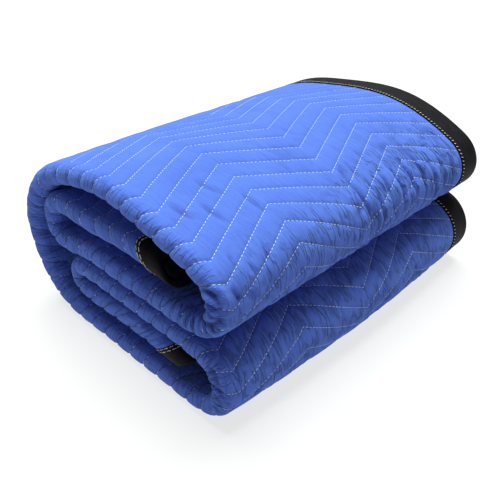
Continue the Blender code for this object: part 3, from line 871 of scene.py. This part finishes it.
def flat_waves(nodes, direction, scale, **values):
    """Waves over the flat cloth, as ribs of a weave or twists of a thread."""
    values = {name.replace("_", " "): value for name, value in values.items()}
    values.update({"Vector": flat_place(nodes, (1.0, 1.0)), "Scale": scale})
    return nodes.add("ShaderNodeTexWave", values, bands_direction=direction).outputs["Fac"]


def mix(nodes, share, first, second):
    """A colour between the first and the second."""
    values = {"Factor": share, "A": first, "B": second}
    return nodes.add("ShaderNodeMix", values, data_type="RGBA").outputs["Result"]


def bumped(nodes, height, distance, strength=1.0, under=None, **settings):
    """A bump of that height, on top of the one under it."""
    values = {"Height": height, "Distance": distance, "Strength": strength}
    if under is not None:
        values["Normal"] = under
    return nodes.add("ShaderNodeBump", values, **settings).outputs["Normal"]


def fade(nodes, value, start, stop):
    """0 before start and 1 past stop, softly; stop may be the lower of the two."""
    low, high, out = (start, stop, (0.0, 1.0)) if start < stop else (stop, start, (1.0, 0.0))
    values = {"Value": value, "From Min": low, "From Max": high, "To Min": out[0], "To Max": out[1]}
    return nodes.add("ShaderNodeMapRange", values, interpolation_type="SMOOTHSTEP").outputs["Result"]


def maths(nodes, operation, *values):
    """What a Math node makes of the values."""
    return nodes.add("ShaderNodeMath", dict(enumerate(values)), operation=operation).outputs["Value"]


def times(nodes, first, second):
    """One value times another."""
    return maths(nodes, "MULTIPLY", first, second)


def most(nodes, first, second):
    """The greater of two values."""
    return maths(nodes, "MAXIMUM", first, second)


def between(nodes, value, rise, fall):
    """1 between a rise and a fall, each of them where it starts and where it is full."""
    return times(nodes, fade(nodes, value, *rise), fade(nodes, value, *fall))


def puckers(nodes, cells):
    """Fine creases, 0 to 1: the level lines of a stretched noise, broken up by another."""
    level = flat_noise(nodes, cells, 1.0, 0.4)
    off = maths(nodes, "ABSOLUTE", maths(nodes, "SUBTRACT", level, 0.5))
    patches = flat_noise(nodes, (cells[0] * PUCKER_BROKEN[0], cells[1] * PUCKER_BROKEN[1]), 0.0)
    return times(nodes, fade(nodes, off, PUCKER_LINE, 0.0), fade(nodes, patches, *PUCKER_PATCHES))


def gathers(nodes):
    """Where the cloth has fine creases, 0 to 1: on the two bulges, and in the folded end."""
    uv = nodes.add("ShaderNodeUVMap", uv_map="flat_cloth").outputs["UV"]
    place = nodes.add("ShaderNodeSeparateXYZ", {"Vector": uv})
    along, across = place.outputs["X"], place.outputs["Y"]
    slanted = maths(nodes, "MULTIPLY_ADD", across, CREASED_SLANT, along)
    upper = times(nodes, fade(nodes, along, *UPPER_CREASED), fade(nodes, slanted, *UPPER_TOP_CREASED))
    bulges = most(nodes, upper, between(nodes, along, *LOWER_CREASED))
    mouths = most(nodes, between(nodes, along, *UPPER_MOUTH), between(nodes, along, *LOWER_MOUTH))
    return (times(nodes, bulges, between(nodes, across, *FACE_CREASED)),
            times(nodes, most(nodes, mouths, END_CREASED_LEAST), fade(nodes, across, *END_CREASED)))


def quilt_material():
    """Brushed royal blue cloth: a soft nap, faint mottling, and creases where it is gathered, with painted
    shade in the creases.
    """
    material, nodes = plain_material("quilt_blue_cloth", CLOTH_BLUE, 0.90)
    nap = flat_noise(nodes, NAP_CELLS, 3.0, 0.7)
    tone = nodes.add("ShaderNodeValToRGB", {"Fac": flat_noise(nodes, MOTTLE_CELLS, 4.0, 0.6)})
    for stop, level, colour in zip(tone.color_ramp.elements, MOTTLE_LEVELS, (CLOTH_DEEP, CLOTH_BLUE)):
        stop.position, stop.color = level, (*colour, 1.0)
    speck = nodes.add("ShaderNodeMapRange", {"Value": nap, "From Min": NAP_LEVELS[0],
                                             "From Max": NAP_LEVELS[1], "To Max": NAP_PALE})
    napped = mix(nodes, speck.outputs["Result"], tone.outputs["Color"], (*CLOTH_PALE, 1.0))
    on_bulge, at_end = gathers(nodes)
    long_ones = times(nodes, puckers(nodes, LONG_PUCKERS), on_bulge)
    end_ones = times(nodes, puckers(nodes, END_PUCKERS), at_end)
    creased = most(nodes, long_ones, end_ones)
    # Painted shade: the colour is darkened in the modelled creases and in the fine ones.
    hollow_painted_shade = nodes.add("ShaderNodeAttribute", attribute_name="hollow_painted_shade").outputs["Fac"]
    shade = most(nodes, times(nodes, long_ones, LONG_SHADE), times(nodes, end_ones, END_SHADE))
    shade = most(nodes, shade, times(nodes, hollow_painted_shade, HOLLOW_SHADE))
    nodes.shade(Base_Color=mix(nodes, shade, napped, (*PAINTED_CREASE_SHADE, 1.0)), Specular_IOR_Level=0.15,
                Sheen_Weight=0.12, Sheen_Roughness=0.5, Sheen_Tint=(*CLOTH_SHEEN, 1.0))
    crinkled = bumped(nodes, flat_noise(nodes, CRINKLE_CELLS, 2.0, 0.55), CRINKLE_BUMP)
    sunk = bumped(nodes, creased, CREASE_BUMP, under=crinkled, invert=True)
    nodes.shade(Normal=bumped(nodes, nap, NAP_BUMP, 0.6, sunk))
    return material


def tape_material():
    """Black woven tape with a fine rib along it."""
    material, nodes = plain_material("binding_tape_black", TAPE_BLACK, 0.62)
    worn = fade(nodes, flat_noise(nodes, WEAR_CELLS, 4.0, 0.65), *WEAR_LEVELS)
    nodes.shade(Base_Color=mix(nodes, worn, (*TAPE_BLACK, 1.0), (*TAPE_WORN, 1.0)))
    ribs = flat_waves(nodes, "Y", TAPE_RIBS, Distortion=0.6, Detail=1.0, Detail_Scale=3.0)
    picks = flat_waves(nodes, "X", TAPE_PICKS, Distortion=0.4)
    woven = bumped(nodes, picks, PICK_BUMP, 0.6, bumped(nodes, ribs, RIB_BUMP, 0.8))
    nodes.shade(Normal=woven, Specular_IOR_Level=0.08)
    return material


def thread_material(name, colour):
    """Spun thread, with its twist as a fine bump."""
    material, nodes = plain_material(name, colour, 0.65)
    nodes.shade(Normal=bumped(nodes, flat_waves(nodes, "DIAGONAL", THREAD_TWISTS), TWIST_BUMP, 0.7))
    return material


# ======================== camera, floor and light
def stage():
    """The camera of the photo, a white floor, a soft light from above and a dim sky."""
    camera = bpy.data.objects.new("camera", bpy.data.cameras.new("camera"))
    camera.data.lens = CAMERA_LENS
    camera.data.sensor_width = SENSOR
    camera.data.clip_start = 0.01
    camera.location = CAMERA_AT
    camera.rotation_euler = (math.radians(90.0 - CAMERA_DOWN), 0.0, math.radians(CAMERA_TURN))
    show(camera)
    bpy.context.scene.camera = camera

    floor_mesh = bpy.data.meshes.new("floor")
    made = bmesh.new()
    bmesh.ops.create_grid(made, x_segments=1, y_segments=1, size=FLOOR_HALF)
    made.to_mesh(floor_mesh)
    made.free()
    floor = bpy.data.objects.new("floor", floor_mesh)
    white, nodes = plain_material("floor_white", (FLOOR_SHADE,) * 3, 0.9)
    nodes.shade(Emission_Color=(1.0, 1.0, 1.0, 1.0), Emission_Strength=FLOOR_GLOW)
    floor_mesh.materials.append(white)
    show(floor)

    sun = bpy.data.lights.new("soft_top_light", "SUN")
    sun.energy = SUN_POWER
    sun.angle = math.radians(SUN_SPREAD)
    sun.color = SUN_COLOUR
    top = bpy.data.objects.new("soft_top_light", sun)
    top.rotation_euler = Vector(SUN_FROM).to_track_quat("Z", "Y").to_euler()
    show(top)

    world = bpy.data.worlds.new("studio")
    world.use_nodes = True
    sky = world.node_tree.nodes["Background"].inputs
    sky["Color"].default_value = (*SKY_COLOUR, 1.0)
    sky["Strength"].default_value = SKY_POWER
    bpy.context.scene.world = world
    bpy.context.scene.view_settings.view_transform = "Standard"


stage()
cloth = quilt_cloth(quilt_material())
# The thread in the folded end's seams is a shaded copy of the white thread: painted shade.
threads = [quilting_thread("quilting_thread", thread_material("thread_white", THREAD_WHITE), True),
           quilting_thread("quilting_thread_painted_shade", thread_material("sunk_thread_painted_shade", THREAD_PAINTED_SHADE), False)]
bindings(tape_material())
binding_thread(thread_material("thread_straw", THREAD_STRAW))
